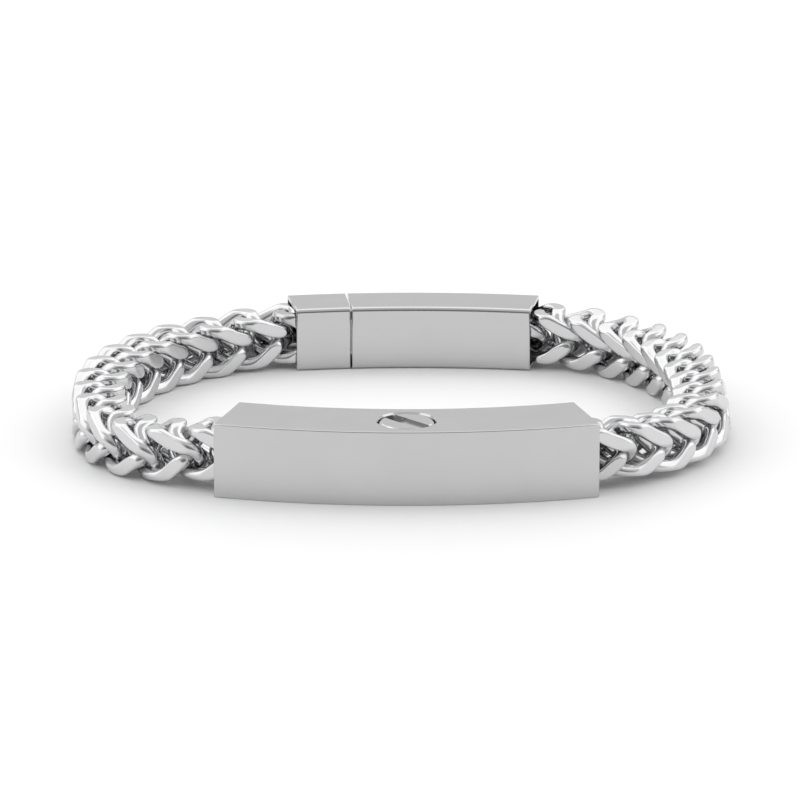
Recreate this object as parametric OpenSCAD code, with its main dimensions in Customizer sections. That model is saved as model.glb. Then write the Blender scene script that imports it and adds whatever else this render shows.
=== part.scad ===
// Name bracelet: a curved blank name plate with a screwed-in plug, a box clasp and two square foxtail chains.
// Laid on a table as a closed loop. Plate towards the front, -Y. Up is +Z. Lengths in millimetres.

/* [Name plate] */
// Height of the plate.
plate_h = 9.2; // [7:0.1:12]
// Thickness of the plate, front to back.
plate_t = 10; // [6:0.25:12]
// Outer radius of the plate's curved front.
plate_r = 79; // [50:1:120]
// Half of the angle that the plate spans about the centre of its curve.
plate_half = 17.1; // [8:0.1:25]
// Shift of the plate to the right of the loop's middle.
plate_x = 0.8; // [-4:0.1:4]
// Rounding of the plate's long edges.
plate_edge = 0.15; // [0.1:0.05:1]

/* [Screw plug] */
// Radius of the bore in the plate's top.
bore_r = 3.5; // [2:0.05:4]
// Depth of the bore.
bore_depth = 6; // [3:0.25:8]
// Width of the chamfer round the bore's mouth.
mouth = 0.2; // [0.05:0.05:0.5]
// Running clearance round the plug.
plug_gap = 0.05; // [0.02:0.01:0.1]
// How far the plug's face lies below the plate's top.
plug_sink = 0.1; // [0:0.05:0.5]
// Width of the driver slot.
slot_w = 1.8; // [0.5:0.05:2.5]
// Depth of the driver slot.
slot_d = 1.2; // [0.4:0.1:2]
// Direction of the slot, seen from above.
slot_turn = -48; // [-90:1:90]

/* [Clasp] */
// Height of the clasp.
clasp_h = 8.1; // [6:0.1:10]
// Thickness of the clasp, front to back.
clasp_t = 7.6; // [5:0.1:10]
// Outer radius of the clasp's curved back.
clasp_r = 95; // [60:1:160]
// Half of the angle that the closed clasp spans.
clasp_half = 9.8; // [5:0.1:15]
// Angle from the short half's far end to the seam.
short_span = 4.6; // [3:0.05:8]
// Gap at the seam between the halves.
seam = 0.2; // [0.1:0.05:0.5]
// Shift of the clasp to the right of the loop's middle.
clasp_x = 1.7; // [-4:0.1:4]
// Rounding of the clasp's long edges.
clasp_edge = 0.35; // [0.1:0.05:1]
// Side of the square tongue that joins the halves.
tongue = 4; // [2:0.25:5]
// Length of the tongue past the seam.
tongue_l = 8; // [4:0.5:12]
// Gap round the tongue in its socket.
tongue_gap = 0.15; // [0.1:0.05:0.4]

/* [Chain] */
// Outside size of the square chain.
chain_s = 6.4; // [5:0.1:8]
// How far the middle of the wire lies inside the chain's outer faces: less than half of the wire is filed flat.
wire_in = 0.55; // [0.4:0.05:0.8]
// Diameter of the link wire.
wire = 1.35; // [1.2:0.05:1.6]
// Height of the chain's underside over the table, in the middle of each chain.
chain_lift = 0.1; // [0:0.05:1]
// Length over which the chain rises to the plate and to the clasp.
rise = 14; // [6:0.5:25]
// Depth of the open pockets that the chains are soldered into.
pocket = 4; // [2:0.25:6]
// Room round the chain in the pockets.
pocket_gap = 0.32; // [0.1:0.02:0.5]
// Half of the loop's width, along the chain's middle line.
half_wide = 37.4; // [30:0.1:50]
// Front to back size of the loop, outside.
deep = 67.4; // [50:0.1:90]
// Links of the first kind in the right chain.
right_n = 13; // [6:1:16]
// Links of the first kind in the left chain.
left_n = 13; // [6:1:16]

/* [Hidden] */
$fn = 96;
// Corners along a ring and round its wire.
ring_sides = 16;
wire_sides = 6;
// Half size of the square that a ring's middle line keeps to.
line_half = chain_s / 2 - wire_in;
// Where the widest place of each side lies, as a share of the depth from the front.
right_wide = 0.43;
left_wide = 0.455;
// Handle shares of the four curves: plate to widest place, widest place to clasp.
right_bend = [0.5, 0.6];
left_bend = [0.58, 0.56];
// How far each chain is rolled in its middle, so that its outer face looks up.
right_roll = 12;
left_roll = 2;
// Shift between the two kinds of ring, as a share of the pitch.
pair = 0.1;
// A ring of the first kind runs this far behind and ahead of its middle, as shares of the pitch, wire left out.
back_reach = 0.61;
front_reach = 0.99;
// Room between the first and last rings and the floors of the pockets.
clear = 0.3;
// The straight runs inside the bars, longer than the pockets.
run_in = 12;
// Cuts reach this far past the faces that they open.
past = 1;
// The line's direction at a ring is taken between points this far behind and ahead of it.
near = 1;
// Directions straight to the front and straight to the back, seen from above.
to_front = 270;
to_back = 90;

// The ring's leading points, which pull its smooth closed line towards them. The columns are the place along
// the chain as a share of the pitch, then outwards and up as shares of line_half.
ALONG = 0;
OUT = 1;
UP = 2;
LEAD = [
    [0.00, 1.03, 1.05],
    [0.33, 1.03, 0.61],
    [0.67, 1.01, 0.27],
    [1.16, 0.49, 0.20],
    [0.67, -0.37, -1.07],
    [-0.14, -1.04, -1.06],
    [-0.42, -1.06, -0.58],
    [-0.72, -0.99, -0.27],
    [-0.27, -0.56, -0.32],
    [-0.31, 0.43, 1.07],
];

plate_mid = plate_r - plate_t / 2;
clasp_mid = clasp_r - clasp_t / 2;
// Centres of both curves, seen from above, and the middle of the screw.
plate_hub = [plate_x, plate_r - deep / 2];
clasp_hub = [clasp_x, deep / 2 - clasp_r];
screw = [plate_x, (plate_t - deep) / 2];
// Direction of the seam's middle from the centre of the clasp's curve.
seam_at = to_back + clasp_half - short_span;
// Angle that a length spans along the clasp's middle line.
function span(l) = l / clasp_mid * 180 / PI;

function unit(v) = v / norm(v);
// Middle of the end face of the plate and of the clasp.
function plate_end(side) = plate_hub + plate_mid * [side * sin(plate_half), -cos(plate_half)];
function clasp_end(side) = clasp_hub + clasp_mid * [side * sin(clasp_half), cos(clasp_half)];
// Straight out of each end face.
function plate_way(side) = [side * cos(plate_half), sin(plate_half)];
function clasp_way(side) = [side * cos(clasp_half), -sin(clasp_half)];

function curve(a, b, c, d, u) =
    pow(1 - u, 3) * a + 3 * pow(1 - u, 2) * u * b + 3 * (1 - u) * u * u * c + u * u * u * d;
// The chain's middle line seen from above, from inside the plate to inside the clasp.
function route(side) =
    let (p = plate_end(side), q = clasp_end(side), bend = side > 0 ? right_bend : left_bend,
         w = [side * half_wide, deep * ((side > 0 ? right_wide : left_wide) - 0.5)],
         pa = p + plate_way(side) * abs(w.x - p.x) * bend[0], pb = w - [0, w.y - p.y] * bend[0],
         qa = w + [0, q.y - w.y] * bend[1], qb = q + clasp_way(side) * abs(w.x - q.x) * bend[1])
    concat([p - plate_way(side) * run_in],
           [for (i = [0:40]) curve(p, pa, pb, w, i / 40)],
           [for (i = [1:40]) curve(w, qa, qb, q, i / 40)],
           [q - clasp_way(side) * run_in]);
// Length along the line at each of its points, zero at the plate's end face.
function lengths(q) = [for (i = 0, s = -run_in; i < len(q);
                            s = s + (i + 1 < len(q) ? norm(q[i + 1] - q[i]) : 0), i = i + 1) s];
function smooth(t) = let (u = min(max(t, 0), 1)) u * u * (3 - 2 * u);
// Roll of the chain at a length: none at the bars, most in the middle.
function roll(s, c) = (c[SIDE] > 0 ? right_roll : left_roll) * sin(180 * min(max(s / c[WHOLE], 0), 1));
// Height of the line: near the table in the middle, where a roll lifts it, at mid height in the bars.
rest_z = chain_s / 2 + chain_lift;
function height(s, c) = rest_z + chain_s / 2 * (sin(roll(s, c)) + cos(roll(s, c)) - 1)
    + (plate_h / 2 - rest_z) * (1 - smooth(s / rise))
    + (clasp_h / 2 - rest_z) * (1 - smooth((c[WHOLE] - s) / rise));

// What each chain needs: [places by length, whole length, pitch, length of the first ring, side].
PLACES = 0;
WHOLE = 1;
PITCH = 2;
FIRST = 3;
SIDE = 4;
function chain(side) =
    let (q = route(side), s = lengths(q), l = s[len(s) - 1] - run_in, n = side > 0 ? right_n : left_n,
         reach = side > 0 ? [back_reach, front_reach] : [front_reach, back_reach],
         room = l + 2 * pocket - wire - 2 * clear, p = room / (n + reach[0] + reach[1]))
    [[for (i = [0:len(q) - 1]) [s[i], q[i]]], l, p, clear + wire / 2 + reach[0] * p - pocket, side];
function spot(c, s) = [for (i = [0, 1]) lookup(s, [for (e = c[PLACES]) [e[0], e[1][i]]])];

// The ring's own line, its corners and the corners of its wire, in [along, out, up].
function blend(u) =
    [pow(1 - u, 3), 3 * pow(u, 3) - 6 * u * u + 4, -3 * pow(u, 3) + 3 * u * u + 3 * u + 1, pow(u, 3)] / 6;
function lead(i, p) =
    let (e = LEAD[(i + len(LEAD)) % len(LEAD)]) [e[ALONG] * p, e[OUT] * line_half, e[UP] * line_half];
function ring_at(x, p) =
    let (i = floor(x), b = blend(x - i))
    b[0] * lead(i - 1, p) + b[1] * lead(i, p) + b[2] * lead(i + 1, p) + b[3] * lead(i + 2, p);
function ring_line(p) = [for (j = [0:ring_sides - 1]) ring_at(j * len(LEAD) / ring_sides, p)];
function within(x, limit) = min(max(x, -limit), limit);
function filed(v) = [v[0], within(v[1], chain_s / 2), within(v[2], chain_s / 2)];
function ring_skin(p) =
    let (q = ring_line(p), n = ring_sides)
    [for (j = [0:n - 1])
        let (t = unit(q[(j + 1) % n] - q[(j + n - 1) % n]), u = unit(q[j] - (q[j] * t) * t), v = cross(t, u))
            for (k = [0:wire_sides - 1])
                let (a = k * 360 / wire_sides) filed(q[j] + wire / 2 * (cos(a) * u + sin(a) * v))];

// A ring's corners in place. Kind 0 stands as drawn, kind 1 is turned half a turn about the upright.
function placed(skin, c, k, kind) =
    let (s = c[FIRST] + c[PITCH] * (k + (kind == 1 ? c[SIDE] * pair : 0)),
         o = spot(c, s), d = unit(spot(c, s + near) - spot(c, s - near)), z = height(s, c), r = roll(s, c),
         slope = (height(s + near, c) - height(s - near, c)) / (2 * near),
         along = c[SIDE] * unit([d.x, d.y, slope]), level = c[SIDE] * [d.y, -d.x, 0],
         rise_up = unit([-slope * d.x, -slope * d.y, 1]), out = cos(r) * level + sin(r) * rise_up,
         up = cos(r) * rise_up - sin(r) * level, m = kind == 1 ? -1 : 1)
    [for (v = skin) [o.x, o.y, z] + m * v[0] * along + m * v[1] * out + v[2] * up];
// Triangles of one closed ring whose corners start at number b.
function ring_faces(b) = [for (j = [0:ring_sides - 1], k = [0:wire_sides - 1])
    let (j2 = (j + 1) % ring_sides, k2 = (k + 1) % wire_sides, a = b + j * wire_sides, e = b + j2 * wire_sides)
    each [[a + k, a + k2, e + k2], [a + k, e + k2, e + k]]];
// One solid for each [number, kind] in the list.
module rings(side, list) {
    c = chain(side);
    skin = ring_skin(c[PITCH]);
    n = ring_sides * wire_sides;
    polyhedron(points = [for (e = list) each placed(skin, c, e[0], e[1])],
               faces = [for (i = [0:len(list) - 1]) each ring_faces(i * n)]);
}

module rounded(w, h, r) {
    square([w - 2 * r, h], center = true);
    square([w, h - 2 * r], center = true);
    for (x = [-1, 1], y = [-1, 1]) translate([x * (w / 2 - r), y * (h / 2 - r)]) circle(r);
}
// A curved bar about the Z axis: middle radius, thickness, height and the angles of its ends.
module bar(mid, t, h, r, from, to) {
    rotate([0, 0, from]) rotate_extrude(angle = to - from) translate([mid, h / 2]) rounded(t, h, r);
}
// The open pocket that a chain goes into: middle of the bar's end face, the way straight out of it, height.
module end_pocket(face, out, z) {
    side = chain_s + 2 * pocket_gap;
    translate([face.x, face.y, z]) rotate([0, 0, atan2(out.y, out.x)])
        translate([(past - pocket) / 2, 0, 0]) cube([pocket + past, side, side], center = true);
}

module id_plate() {
    color("silver") union() {
        difference() {
            translate(plate_hub) bar(plate_mid, plate_t, plate_h, plate_edge, to_front - plate_half, to_front + plate_half);
            for (side = [-1, 1]) end_pocket(plate_end(side), plate_way(side), plate_h / 2);
            translate([screw.x, screw.y, plate_h - bore_depth]) cylinder(h = bore_depth + past, r = bore_r);
            translate([screw.x, screw.y, plate_h - mouth])
                cylinder(h = 2 * mouth, r1 = bore_r, r2 = bore_r + 2 * mouth);
        }
        rings(1, [[0, 1]]);
        rings(-1, [[-1, 1]]);
    }
}

module screw_plug() {
    r = bore_r - plug_gap;
    color("silver") translate([screw.x, screw.y, plate_h - bore_depth + plug_gap]) {
        l = bore_depth - plug_gap - plug_sink;
        difference() {
            union() {
                cylinder(h = l - mouth, r = r);
                translate([0, 0, l - mouth]) cylinder(h = mouth, r1 = r, r2 = r - mouth);
            }
            rotate([0, 0, slot_turn]) translate([0, 0, l]) cube([3 * r, slot_w, 2 * slot_d], center = true);
        }
    }
}

module clasp_short() {
    color("silver") union() {
        difference() {
            translate(clasp_hub)
                bar(clasp_mid, clasp_t, clasp_h, clasp_edge, seam_at + span(seam / 2), to_back + clasp_half);
            end_pocket(clasp_end(-1), clasp_way(-1), clasp_h / 2);
        }
        translate([clasp_hub.x, clasp_hub.y, (clasp_h - tongue) / 2])
            bar(clasp_mid, tongue, tongue, clasp_edge, seam_at - span(tongue_l), seam_at + span(seam));
        rings(-1, [[left_n, 1]]);
    }
}

module clasp_long() {
    color("silver") union() {
        difference() {
            translate(clasp_hub)
                bar(clasp_mid, clasp_t, clasp_h, clasp_edge, to_back - clasp_half, seam_at - span(seam / 2));
            end_pocket(clasp_end(1), clasp_way(1), clasp_h / 2);
            side = tongue + 2 * tongue_gap;
            l = tongue_l + 2 * tongue_gap;
            translate([clasp_hub.x, clasp_hub.y, (clasp_h - side) / 2])
                bar(clasp_mid, side, side, clasp_edge, seam_at - span(l), seam_at + span(seam));
        }
        rings(1, [[right_n + 1, 1]]);
    }
}

module chain_left() {
    color("silver") rings(-1, concat([for (k = [0:left_n]) [k, 0]], [for (k = [0:left_n - 1]) [k, 1]]));
}

module chain_right() {
    color("silver") rings(1, concat([for (k = [0:right_n]) [k, 0]], [for (k = [1:right_n]) [k, 1]]));
}

id_plate();
screw_plug();
clasp_short();
clasp_long();
chain_left();
chain_right();
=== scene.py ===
"""A polished steel name bracelet, closed on a pale table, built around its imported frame."""
import math

import bmesh
import bpy
from mathutils import Matrix, Vector


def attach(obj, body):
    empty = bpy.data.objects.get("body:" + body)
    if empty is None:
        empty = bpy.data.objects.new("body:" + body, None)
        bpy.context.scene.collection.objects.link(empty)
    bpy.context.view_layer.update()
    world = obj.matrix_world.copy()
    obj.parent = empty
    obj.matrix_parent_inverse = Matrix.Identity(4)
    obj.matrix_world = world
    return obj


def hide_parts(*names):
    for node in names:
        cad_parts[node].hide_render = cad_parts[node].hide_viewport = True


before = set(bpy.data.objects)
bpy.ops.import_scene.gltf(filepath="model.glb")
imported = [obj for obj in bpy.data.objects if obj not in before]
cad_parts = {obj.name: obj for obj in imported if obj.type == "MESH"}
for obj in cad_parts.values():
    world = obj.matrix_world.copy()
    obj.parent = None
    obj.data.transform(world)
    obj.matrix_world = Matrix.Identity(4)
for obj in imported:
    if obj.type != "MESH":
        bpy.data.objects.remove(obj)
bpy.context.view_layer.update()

MM = 0.001
BRACELET = "bracelet"

# Name plate and clasp, in millimetres. Both are bars curved about an upright axis: outer radius r,
# thickness t, height h, half the angle that they span, and the place of their middle along x. The
# long edges are rounded by edge and the edges of the end faces by a share of it.
DEEP = 67.4
PLATE = {"r": 79.0, "t": 10.0, "h": 9.2, "half": math.radians(17.1), "x": 0.8,
         "edge": 0.15, "end_share": 1.0}
CLASP = {"r": 95.0, "t": 7.6, "h": 8.1, "half": math.radians(9.8), "x": 1.7,
         "edge": 0.5, "end_share": 0.35}
# A hub is the centre of a bar's curve, seen from above, and mid the radius of its middle line.
PLATE["hub"] = Vector((PLATE["x"], PLATE["r"] - DEEP / 2, 0))
CLASP["hub"] = Vector((CLASP["x"], DEEP / 2 - CLASP["r"], 0))
PLATE["mid"] = PLATE["r"] - PLATE["t"] / 2
CLASP["mid"] = CLASP["r"] - CLASP["t"] / 2
SHORT_SPAN = math.radians(4.6)
SEAM = 0.2
TONGUE = 4.0
TONGUE_LENGTH = 8.0
TONGUE_GAP = 0.15
POCKET = 4.0
# Sections along a bar, steps of a rounded edge, its share at a pocket's mouth, and the least angle
# between two faces that counts as an edge.
BAR_STEPS, SHORT_STEPS = 36, 20
EDGE_STEPS = 6
MOUTH_SHARE = 0.15
HARD_ANGLE = math.radians(30)

# Screw plug in the plate's top.
BORE_R = 3.5
BORE_DEPTH = 6.0
BORE_CENTRE = Vector((PLATE["x"], (PLATE["t"] - DEEP) / 2, PLATE["h"]))
MOUTH = 0.2
PLUG_GAP = 0.05
PLUG_SINK = 0.1
# The head's rim from below upwards, as (in from the side, down from the top).
PLUG_RIM = ((0, 0.45), (0.12, 0.2), (0.4, 0))
PLUG_EDGE, PLUG_EDGE_STEPS, PLUG_EDGE_ANGLE = 0.22, 4, math.radians(50)
SLOT_W = 1.8
SLOT_D = 0.7
SLOT_TURN = math.radians(-48)

# Square foxtail chain. The wire's line lies LINE_INSET inside the outer faces. Rings of kind 1
# stand PAIR of a pitch further along, and the chain's middle settles LIFT above its half height.
# HALF_WIDE is how far out the middle line comes, and RUN_IN how far a route goes on in a bar.
CHAIN_S = 6.4
POCKET_GAP = 0.32
POCKET_SIDE = CHAIN_S + 2 * POCKET_GAP
WIRE = 1.86
LINE_INSET = 0.67
LINE_HALF = CHAIN_S / 2 - LINE_INSET
FILE_EDGE = 0.12
PAIR = 0.1
LIFT = 0.15
HALF_WIDE = 37.28
RUN_IN = 12.0
ROUTE_STEPS, SPLINE_STEPS = 60, 16
# The solids space their rings by these, and the rings here follow them.
SOLID_WIRE = 1.35
CLEAR = 0.3
BACK_REACH, FRONT_REACH = 0.61, 0.99
# A chain is widest at the share wide of DEEP. bend is how far its curve keeps to the plate's and
# the clasp's way, and rise the length over which it comes down from a bar's mid height.
SIDES = {
    "right": {"sign": 1, "links": 13, "wide": 0.43, "bend": (0.5, 0.6),
              "roll": math.radians(12), "rise": 14.0},
    "left": {"sign": -1, "links": 13, "wide": 0.455, "bend": (0.66, 0.56),
             "roll": math.radians(2), "rise": 12.0},
}
# Points that lead a ring's wire: along in pitches, out and up as shares of LINE_HALF.
LEAD = (
    (0.04, 1.03, 1.08),
    (0.38, 1.07, 0.65),
    (0.68, 1.08, 0.42),
    (0.92, 0.80, 0.27),
    (1.03, 0.35, -0.40),
    (0.53, -0.63, -1.12),
    (-0.06, -1.04, -1.09),
    (-0.31, -1.10, -0.61),
    (-0.58, -1.00, -0.29),
    (-0.58, -0.30, -0.11),
    (-0.09, -0.31, 0.75),
    (-0.22, 0.49, 1.11),
)

# Surface of the steel. Buffing lines are about 0.01 mm apart; they are drawn 0.12 mm apart so
# that they show. Handling marks vary the roughness between two shares of it.
HAIR_GAP = 0.12 * MM
HAIR_DEPTH = 0.004 * MM
MARK_SIZE = 4 * MM
SMOOTHEST, ROUGHEST = 0.7, 1.4

# Studio, in metres and watts. Room light goes by the Y part of a direction, in ranges of
# (from, to, level at from, level at to): dim straight in front, a little paler behind.
TABLE_HALF = 3
FRONT_DIM = (-0.9, -0.72, 0.3, 1.0)
BACK_PALE = (-0.8, 0.6, 0.67, 0.79)
SOFTBOXES = (
    ("overhead_softbox", (0, 0.5, 0.7), (1.4, 1.05), 3.1),
    ("left_softbox", (-0.8, -0.1, 0.5), (1.1, 1.0), 2.5),
    ("right_softbox", (0.8, -0.1, 0.5), (1.1, 1.0), 2.5),
)
# The camera looks from low in front, far off, as with a long lens: millimetres and degrees.
CAMERA = {"target": (0, 11.7, 0), "distance": 900, "up": 16.24, "lens": 321.4, "sensor": 36}
NEAREST, FARTHEST = 0.05, 20


def linear(hex_colour):
    """Linear colour of an sRGB hex value."""
    parts = [int(hex_colour[i:i + 2], 16) / 255 for i in (1, 3, 5)]
    return [c / 12.92 if c <= 0.04045 else ((c + 0.055) / 1.055) ** 2.4 for c in parts] + [1]


def add_node(tree, kind, settings=None, links=None):
    """Adds a node, sets its properties and sockets, and links other sockets into it."""
    node = tree.nodes.new(kind)
    for name, value in (settings or {}).items():
        if name in node.inputs:
            node.inputs[name].default_value = value
        else:
            setattr(node, name, value)
    for name, source in (links or {}).items():
        tree.links.new(source, node.inputs[name])
    return node


def polished_stainless_steel(name, roughness, grain, darker, lighter):
    """Buffed 316 steel: a near mirror, with the last wheel's hair lines and faint handling marks."""
    material = bpy.data.materials.new(name)
    material.use_nodes = True
    tree = material.node_tree
    tree.nodes.clear()
    place = add_node(tree, "ShaderNodeTexCoord").outputs["Object"]
    lines = add_node(tree, "ShaderNodeMapping", {"Scale": grain}, {"Vector": place})
    hair = add_node(tree, "ShaderNodeTexNoise",
                    {"Scale": 1 / HAIR_GAP, "Detail": 3.0, "Roughness": 0.6},
                    {"Vector": lines.outputs["Vector"]})
    marks = add_node(tree, "ShaderNodeTexNoise",
                     {"Scale": 1 / MARK_SIZE, "Detail": 5.0, "Roughness": 0.55},
                     {"Vector": place})
    rough = add_node(tree, "ShaderNodeMapRange",
                     {"To Min": roughness * SMOOTHEST, "To Max": roughness * ROUGHEST},
                     {"Value": marks.outputs["Fac"]})
    tint = add_node(tree, "ShaderNodeMix", {"data_type": "RGBA"}, {"Factor": marks.outputs["Fac"]})
    tint.inputs["A"].default_value = linear(darker)
    tint.inputs["B"].default_value = linear(lighter)
    bump = add_node(tree, "ShaderNodeBump", {"Strength": 0.06, "Distance": HAIR_DEPTH},
                    {"Height": hair.outputs["Fac"]})
    steel = add_node(tree, "ShaderNodeBsdfPrincipled", {"Metallic": 1.0},
                     {"Base Color": tint.outputs["Result"], "Roughness": rough.outputs["Result"],
                      "Normal": bump.outputs["Normal"]})
    add_node(tree, "ShaderNodeOutputMaterial", None, {"Surface": steel.outputs["BSDF"]})
    return material


# The chains: route, place of each ring, and the ring's own shape.


def bezier(a, b, c, d, u):
    """Point at share u of a cubic curve."""
    return a * (1 - u) ** 3 + b * 3 * (1 - u) ** 2 * u + c * 3 * (1 - u) * u ** 2 + d * u ** 3


def bar_end(bar, sign, back):
    """Middle of a bar's end face and the way straight out of it, seen from above."""
    a = bar["half"]
    face = bar["hub"] + bar["mid"] * Vector((sign * math.sin(a), math.cos(a) * back, 0))
    return face, Vector((sign * math.cos(a), -back * math.sin(a), 0))


def chain_route(side):
    """Middle line of a chain seen from above, from inside the plate to inside the clasp.

    It is a list of (length, point), and the length counts from the plate's end face.
    """
    sign, bend = side["sign"], side["bend"]
    p, p_way = bar_end(PLATE, sign, -1)
    q, q_way = bar_end(CLASP, sign, 1)
    w = Vector((sign * HALF_WIDE, DEEP * (side["wide"] - 0.5), 0))
    up_p, up_q = Vector((0, w.y - p.y, 0)), Vector((0, q.y - w.y, 0))
    first = (p, p + p_way * abs(w.x - p.x) * bend[0], w - up_p * bend[0], w)
    second = (w, w + up_q * bend[1], q + q_way * abs(w.x - q.x) * bend[1], q)
    points = [p - p_way * RUN_IN]
    points += [bezier(*first, i / ROUTE_STEPS) for i in range(ROUTE_STEPS + 1)]
    points += [bezier(*second, i / ROUTE_STEPS) for i in range(1, ROUTE_STEPS + 1)]
    points += [q - q_way * RUN_IN]
    length, route = -RUN_IN, []
    for i, point in enumerate(points):
        if i:
            length += (point - points[i - 1]).length
        route.append((length, point))
    return route


def along(route, s):
    """Point of the route at length s."""
    for (s0, a), (s1, b) in zip(route, route[1:]):
        if s <= s1:
            return a.lerp(b, (s - s0) / (s1 - s0))
    return route[-1][1]


def smooth(t):
    """Eased step from 0 to 1."""
    t = min(max(t, 0), 1)
    return t * t * (3 - 2 * t)


def line_roll(side, s, whole):
    """Roll of the chain, which turns its outer face up: none at the bars, most in the middle."""
    return side["roll"] * math.sin(math.pi * min(max(s / whole, 0), 1))


def line_height(side, s, whole):
    """Height of the chain's middle: low on the table, higher where rolled, mid height in a bar."""
    rest, roll = CHAIN_S / 2 + LIFT, line_roll(side, s, whole)
    return (rest + CHAIN_S / 2 * (math.sin(roll) + math.cos(roll) - 1)
            + (PLATE["h"] / 2 - rest) * (1 - smooth(s / side["rise"]))
            + (CLASP["h"] / 2 - rest) * (1 - smooth((whole - s) / side["rise"])))


def lay_out(side):
    """Route, whole length, pitch and place of the first ring of a chain."""
    route = chain_route(side)
    whole = route[-1][0] - RUN_IN
    reach = (BACK_REACH, FRONT_REACH) if side["sign"] > 0 else (FRONT_REACH, BACK_REACH)
    room = whole + 2 * POCKET - SOLID_WIRE - 2 * CLEAR
    pitch = room / (side["links"] + sum(reach))
    first = CLEAR + SOLID_WIRE / 2 + reach[0] * pitch - POCKET
    return route, whole, pitch, first


def ring_place(side, number, kind):
    """Matrix that puts a ring on the chain. Kind 1 is turned half a turn about the upright."""
    route, whole, pitch, first = lay_out(side)
    sign = side["sign"]
    s = first + pitch * (number + (sign * PAIR if kind else 0))
    way = (along(route, s + 1) - along(route, s - 1)).normalized()
    slope = (line_height(side, s + 1, whole) - line_height(side, s - 1, whole)) / 2
    t = sign * Vector((way.x, way.y, slope)).normalized()
    level = sign * Vector((way.y, -way.x, 0))
    steep = Vector((-slope * way.x, -slope * way.y, 1)).normalized()
    roll = line_roll(side, s, whole)
    out = math.cos(roll) * level + math.sin(roll) * steep
    up = math.cos(roll) * steep - math.sin(roll) * level
    turn = -1 if kind else 1
    point = along(route, s) + Vector((0, 0, line_height(side, s, whole)))
    rows = [[turn * t[i], turn * out[i], up[i], point[i]] for i in range(3)]
    return Matrix(rows + [[0, 0, 0, 1]])


def ring_line(pitch, count):
    """Evenly spaced points of a ring's wire line, in (along, out, up)."""
    lead = [Vector((a * pitch, o * LINE_HALF, u * LINE_HALF)) for a, o, u in LEAD]
    n = len(lead)
    fine = []
    for i in range(n):
        for j in range(SPLINE_STEPS):
            u = j / SPLINE_STEPS
            weights = ((1 - u) ** 3, 3 * u ** 3 - 6 * u * u + 4,
                       -3 * u ** 3 + 3 * u * u + 3 * u + 1, u ** 3)
            near = (lead[(i + k - 1) % n] * w for k, w in enumerate(weights))
            fine.append(sum(near, Vector()) / 6)
    lengths = [0]
    for a, b in zip(fine, fine[1:] + fine[:1]):
        lengths.append(lengths[-1] + (b - a).length)
    points, j = [], 0
    for i in range(count):
        s = lengths[-1] * i / count
        while lengths[j + 1] < s:
            j += 1
        share = (s - lengths[j]) / (lengths[j + 1] - lengths[j])
        points.append(fine[j].lerp(fine[(j + 1) % len(fine)], share))
    return points


def filed(x):
    """Place across the chain after filing: flat at the outer face, with a softened edge."""
    limit = CHAIN_S / 2
    over = min(abs(x) - limit + FILE_EDGE, 2 * FILE_EDGE)
    if over <= 0:
        return x
    return math.copysign(limit - FILE_EDGE + over - over ** 2 / (4 * FILE_EDGE), x)


def ring_mesh(pitch, around=28, count=80):
    """One ring of round wire, filed flat where it passes the chain's four outer faces."""
    line = ring_line(pitch, count)
    bm = bmesh.new()
    rows = []
    for i, point in enumerate(line):
        way = (line[(i + 1) % count] - line[i - 1]).normalized()
        side = (point - way * point.dot(way)).normalized()
        other = way.cross(side)
        row = []
        for a in (2 * math.pi * j / around for j in range(around)):
            corner = point + (side * math.cos(a) + other * math.sin(a)) * WIRE / 2
            row.append(bm.verts.new((corner.x, filed(corner.y), filed(corner.z))))
        rows.append(row)
    for i, row in enumerate(rows):
        after = rows[(i + 1) % count]
        for j in range(around):
            k = (j + 1) % around
            bm.faces.new((row[j], row[k], after[k], after[j])).smooth = True
    mesh = bpy.data.meshes.new("ring")
    bm.to_mesh(mesh)
    bm.free()
    return mesh


def add_rings(bm, side, rings):
    """Adds the listed rings of a chain, each given as (number, kind), in metres."""
    pitch = lay_out(side)[2]
    ring = ring_mesh(pitch)
    for number, kind in rings:
        start = len(bm.verts)
        bm.from_mesh(ring)
        bm.verts.ensure_lookup_table()
        place = Matrix.Scale(MM, 4) @ ring_place(side, number, kind)
        bmesh.ops.transform(bm, matrix=place, verts=bm.verts[start:])
    bpy.data.meshes.remove(ring)


def finish_piece(name, bm, material):
    """Turns a mesh in the making into an object of one material."""
    bmesh.ops.recalc_face_normals(bm, faces=bm.faces)
    mesh = bpy.data.meshes.new(name)
    bm.to_mesh(mesh)
    bm.free()
    piece = bpy.data.objects.new(name, mesh)
    bpy.context.scene.collection.objects.link(piece)
    mesh.materials.append(material)
    return piece


def dress(piece, node, body=BRACELET):
    """Makes a finished piece ride on its body and stand for its CAD node."""
    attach(piece, body)
    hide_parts(node)


def make_chain(name, side, material):
    """All loose rings of one chain."""
    n = side["links"]
    second = range(1, n + 1) if side["sign"] > 0 else range(n)
    bm = bmesh.new()
    add_rings(bm, side, [(k, 0) for k in range(n + 1)] + [(k, 1) for k in second])
    dress(finish_piece(name + "_rings", bm, material), name)


# The bars: a curved box, rounded at its edges, with a pocket or a tongue at each end.


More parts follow.
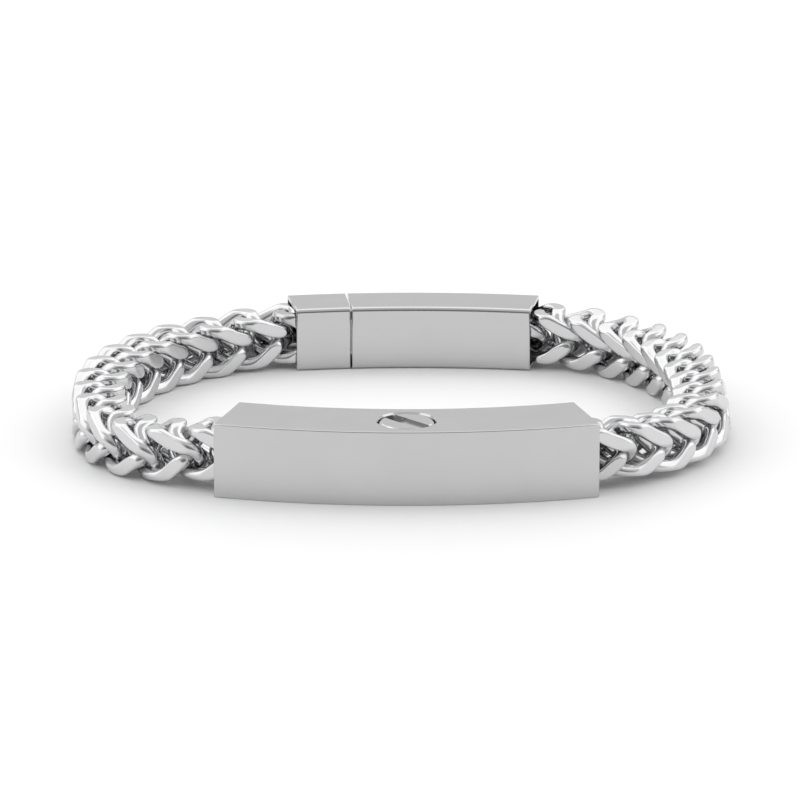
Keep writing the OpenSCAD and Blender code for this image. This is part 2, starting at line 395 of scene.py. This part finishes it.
def bar_body(bar, from_angle, to_angle, back, ends, steps=BAR_STEPS):
    """Curved box about the bar's hub. back is -1 for the plate in front and 1 for the clasp.

    ends gives (side, depth) of a square pocket for each end. A negative depth makes a tongue.
    """
    bm = bmesh.new()
    bevel = bm.edges.layers.float.new("bevel_weight_edge")
    half_t, h = bar["t"] / 2, bar["h"]

    def spot(angle, r, z):
        return (bar["hub"] + Vector((r * math.sin(angle), r * math.cos(angle) * back, z))) * MM

    sections = []
    for i in range(steps + 1):
        a = from_angle + (to_angle - from_angle) * i / steps
        corners = ((-half_t, 0), (half_t, 0), (half_t, h), (-half_t, h))
        sections.append([bm.verts.new(spot(a, bar["mid"] + x, z)) for x, z in corners])
    for row, after in zip(sections, sections[1:]):
        for j in range(4):
            k = (j + 1) % 4
            bm.faces.new((row[j], row[k], after[k], after[j]))
    for angle, row, outward, (side, depth) in ((from_angle, sections[0], -1, ends[0]),
                                               (to_angle, sections[-1], 1, ends[1])):
        way = outward * Vector((math.cos(angle), -back * math.sin(angle), 0)) * MM
        square = ((-side / 2, h / 2 - side / 2), (side / 2, h / 2 - side / 2),
                  (side / 2, h / 2 + side / 2), (-side / 2, h / 2 + side / 2))
        mouth = [bm.verts.new(spot(angle, bar["mid"] + x, z)) for x, z in square]
        floor = [bm.verts.new(v.co - way * depth) for v in mouth]
        for j in range(4):
            k = (j + 1) % 4
            bm.faces.new((row[j], row[k], mouth[k], mouth[j]))
            bm.faces.new((mouth[j], mouth[k], floor[k], floor[j]))
        bm.faces.new(floor)
        for edge in {e for v in mouth for e in v.link_edges if e.other_vert(v) in mouth}:
            edge[bevel] = MOUTH_SHARE
    bmesh.ops.recalc_face_normals(bm, faces=bm.faces)
    outer = {v for row in sections for v in row}
    end_faces = [set(sections[0]), set(sections[-1])]
    for edge in bm.edges:
        pair = set(edge.verts)
        if pair <= outer and len(edge.link_faces) == 2 and edge.calc_face_angle() > HARD_ANGLE:
            edge[bevel] = bar["end_share"] if any(pair <= end for end in end_faces) else 1.0
    for face in bm.faces:
        face.smooth = True
    return bm


def shape_with(piece, kind, settings):
    """Adds a modifier with its settings."""
    modifier = piece.modifiers.new(kind.lower(), kind)
    for name, value in settings.items():
        setattr(modifier, name, value)


def settle(piece, helpers=()):
    """Keeps the shape that the modifiers give and removes the helper objects."""
    graph = bpy.context.evaluated_depsgraph_get()
    mesh = bpy.data.meshes.new_from_object(piece.evaluated_get(graph), depsgraph=graph)
    piece.modifiers.clear()
    old, piece.data = piece.data, mesh
    mesh.name = piece.name
    bpy.data.meshes.remove(old)
    for helper in helpers:
        bpy.data.objects.remove(helper)


def lathe(profile, centre, steps=96):
    """Closed body turned from (radius, height) points about an upright axis."""
    bm = bmesh.new()
    rows = []
    for r, z in profile:
        ring = [centre + Vector((r * math.cos(a), r * math.sin(a), z))
                for a in (2 * math.pi * i / steps for i in range(steps))]
        rows.append([bm.verts.new(p * MM) for p in ring])
    for row, after in zip(rows, rows[1:]):
        for j in range(steps):
            k = (j + 1) % steps
            bm.faces.new((row[j], row[k], after[k], after[j])).smooth = True
    bm.faces.new(rows[0])
    bm.faces.new(rows[-1])
    return bm


def cut_with(piece, cutter):
    """Takes the cutter's shape out of a piece."""
    shape_with(piece, "BOOLEAN", {"operation": "DIFFERENCE", "object": cutter, "solver": "EXACT"})


def true_faces(piece):
    """Marks the hard edges and keeps flat faces flat to the eye."""
    piece.data.set_sharp_from_angle(angle=HARD_ANGLE)
    shape_with(piece, "WEIGHTED_NORMAL", {"keep_sharp": True})
    settle(piece)


def round_bar(piece, edge, cutters=()):
    """Rounds the bar's edges, makes its cuts and keeps its long faces true."""
    shape_with(piece, "BEVEL", {"limit_method": "WEIGHT", "width": edge * MM,
                                "segments": EDGE_STEPS})
    for cutter in cutters:
        cut_with(piece, cutter)
    settle(piece, cutters)
    true_faces(piece)


def add_soldered_rings(piece, rings):
    """Joins the rings that are soldered into a bar's pockets."""
    bm = bmesh.new()
    for side, number in rings:
        add_rings(bm, SIDES[side], [(number, 1)])
    soldered = finish_piece(piece.name + "_solder", bm, piece.data.materials[0])
    joined = [piece, soldered]
    with bpy.context.temp_override(active_object=piece, selected_editable_objects=joined):
        bpy.ops.object.join()


def make_plate(material):
    """Name plate with the bore for the plug and a chain's pocket in each end."""
    half = PLATE["half"]
    pocket = (POCKET_SIDE, POCKET)
    body = bar_body(PLATE, -half, half, -1, (pocket, pocket))
    piece = finish_piece("name_plate", body, material)
    wall = ((BORE_R, -BORE_DEPTH), (BORE_R, -MOUTH), (BORE_R + 2 * MOUTH, MOUTH))
    cut = finish_piece("bore", lathe(wall, BORE_CENTRE), material)
    round_bar(piece, PLATE["edge"], [cut])
    add_soldered_rings(piece, [("right", 0), ("left", -1)])
    dress(piece, "id_plate")


def make_clasp(material):
    """Both halves of the clasp, either side of the seam."""
    half = CLASP["half"]
    seam_at = SHORT_SPAN - half
    gap = SEAM / 2 / CLASP["mid"]
    pocket = (POCKET_SIDE, POCKET)
    tongue = (TONGUE, -TONGUE_LENGTH)
    socket = (TONGUE + 2 * TONGUE_GAP, TONGUE_LENGTH + 2 * TONGUE_GAP)
    short_body = bar_body(CLASP, -half, seam_at - gap, 1, (pocket, tongue), SHORT_STEPS)
    short = finish_piece("clasp_short_half", short_body, material)
    long_body = bar_body(CLASP, seam_at + gap, half, 1, (socket, pocket))
    long = finish_piece("clasp_long_half", long_body, material)
    round_bar(short, CLASP["edge"])
    round_bar(long, CLASP["edge"])
    add_soldered_rings(short, [("left", SIDES["left"]["links"])])
    add_soldered_rings(long, [("right", SIDES["right"]["links"] + 1)])
    dress(short, "clasp_short")
    dress(long, "clasp_long")


def make_plug(material):
    """Slotted plug with a softened head."""
    r = BORE_R - PLUG_GAP
    side = [(r, PLUG_GAP - BORE_DEPTH)]
    side += [(r - inward, -PLUG_SINK - down) for inward, down in PLUG_RIM]
    plug = finish_piece("slotted_plug", lathe(side, BORE_CENTRE), material)
    bm = bmesh.new()
    bmesh.ops.create_cube(bm, size=1)
    # The cube is longer than the plug is wide, and its lower half reaches the slot's floor.
    size = (3 * r * MM, SLOT_W * MM, 2 * (SLOT_D + PLUG_SINK) * MM, 1)
    place = (Matrix.Translation(BORE_CENTRE * MM) @ Matrix.Rotation(SLOT_TURN, 4, "Z")
             @ Matrix.Diagonal(size))
    bmesh.ops.transform(bm, matrix=place, verts=bm.verts)
    slot = finish_piece("slot", bm, material)
    cut_with(plug, slot)
    shape_with(plug, "BEVEL", {"limit_method": "ANGLE", "angle_limit": PLUG_EDGE_ANGLE,
                               "width": PLUG_EDGE * MM, "segments": PLUG_EDGE_STEPS})
    settle(plug, [slot])
    true_faces(plug)
    dress(plug, "screw_plug", "plug")


# Table, light and camera.


def make_table():
    """Pale matte table that the bracelet lies on."""
    material = bpy.data.materials.new("matte white laminate")
    material.use_nodes = True
    tree = material.node_tree
    tree.nodes.clear()
    board = add_node(tree, "ShaderNodeBsdfPrincipled",
                     {"Base Color": linear("#F6F6F6"), "Roughness": 0.6})
    add_node(tree, "ShaderNodeOutputMaterial", None, {"Surface": board.outputs["BSDF"]})
    bm = bmesh.new()
    bmesh.ops.create_grid(bm, x_segments=1, y_segments=1, size=TABLE_HALF)
    table = finish_piece("table", bm, material)


def make_world():
    """Soft room light, a little paler behind the bracelet and dim in a small zone before it."""
    world = bpy.data.worlds.new("studio")
    bpy.context.scene.world = world
    world.use_nodes = True
    tree = world.node_tree
    tree.nodes.clear()
    way = add_node(tree, "ShaderNodeTexCoord").outputs["Generated"]
    split = add_node(tree, "ShaderNodeSeparateXYZ", None, {"Vector": way})
    ranges = [add_node(tree, "ShaderNodeMapRange",
                       dict(zip(("From Min", "From Max", "To Min", "To Max"), values)),
                       {"Value": split.outputs["Y"]})
              for values in (FRONT_DIM, BACK_PALE)]
    level = add_node(tree, "ShaderNodeMath", {"operation": "MULTIPLY"})
    for i, part in enumerate(ranges):
        tree.links.new(part.outputs["Result"], level.inputs[i])
    light = add_node(tree, "ShaderNodeBackground", {"Color": linear("#FFFFFF")},
                     {"Strength": level.outputs["Value"]})
    add_node(tree, "ShaderNodeOutputWorld", None, {"Surface": light.outputs["Background"]})


def add_softbox(name, place, size, power):
    """Softbox that faces the middle of the table."""
    lamp = bpy.data.lights.new(name, "AREA")
    lamp.shape = "RECTANGLE"
    lamp.size, lamp.size_y = size
    lamp.energy = power
    box = bpy.data.objects.new(name, lamp)
    bpy.context.scene.collection.objects.link(box)
    box.location = place
    box.rotation_euler = (Vector() - Vector(place)).to_track_quat("-Z", "Y").to_euler()


def make_lights():
    """A large softbox overhead and a little behind, and one on each side."""
    for softbox in SOFTBOXES:
        add_softbox(*softbox)


def make_camera():
    """Camera at the photograph's angle."""
    up = math.radians(CAMERA["up"])
    look = Vector((0, math.cos(up), -math.sin(up)))
    camera = bpy.data.cameras.new("camera")
    camera.sensor_width = CAMERA["sensor"]
    camera.lens = CAMERA["lens"]
    camera.clip_start, camera.clip_end = NEAREST, FARTHEST
    holder = bpy.data.objects.new("camera", camera)
    bpy.context.scene.collection.objects.link(holder)
    holder.location = (Vector(CAMERA["target"]) - look * CAMERA["distance"]) * MM
    holder.rotation_euler = look.to_track_quat("-Z", "Y").to_euler()
    bpy.context.scene.camera = holder


make_camera()
make_table()
make_world()
make_lights()
bar_steel = polished_stainless_steel("polished stainless steel bar", 0.12, (0.15, 1, 1),
                                     "#C3C3C5", "#CACACA")
# The wire is the same steel as the bars but drawn lighter: painted light that lifts the chain
# against the shade between its rings.
wire_steel_painted_lighter = polished_stainless_steel("polished stainless steel wire painted lighter", 0.17, (1, 1, 1),
                                      "#D0D0D2", "#D8D8D8")
make_plate(bar_steel)
make_clasp(bar_steel)
make_plug(bar_steel)
make_chain("chain_right", SIDES["right"], wire_steel_painted_lighter)
make_chain("chain_left", SIDES["left"], wire_steel_painted_lighter)
bpy.context.scene.view_settings.view_transform = "Standard"
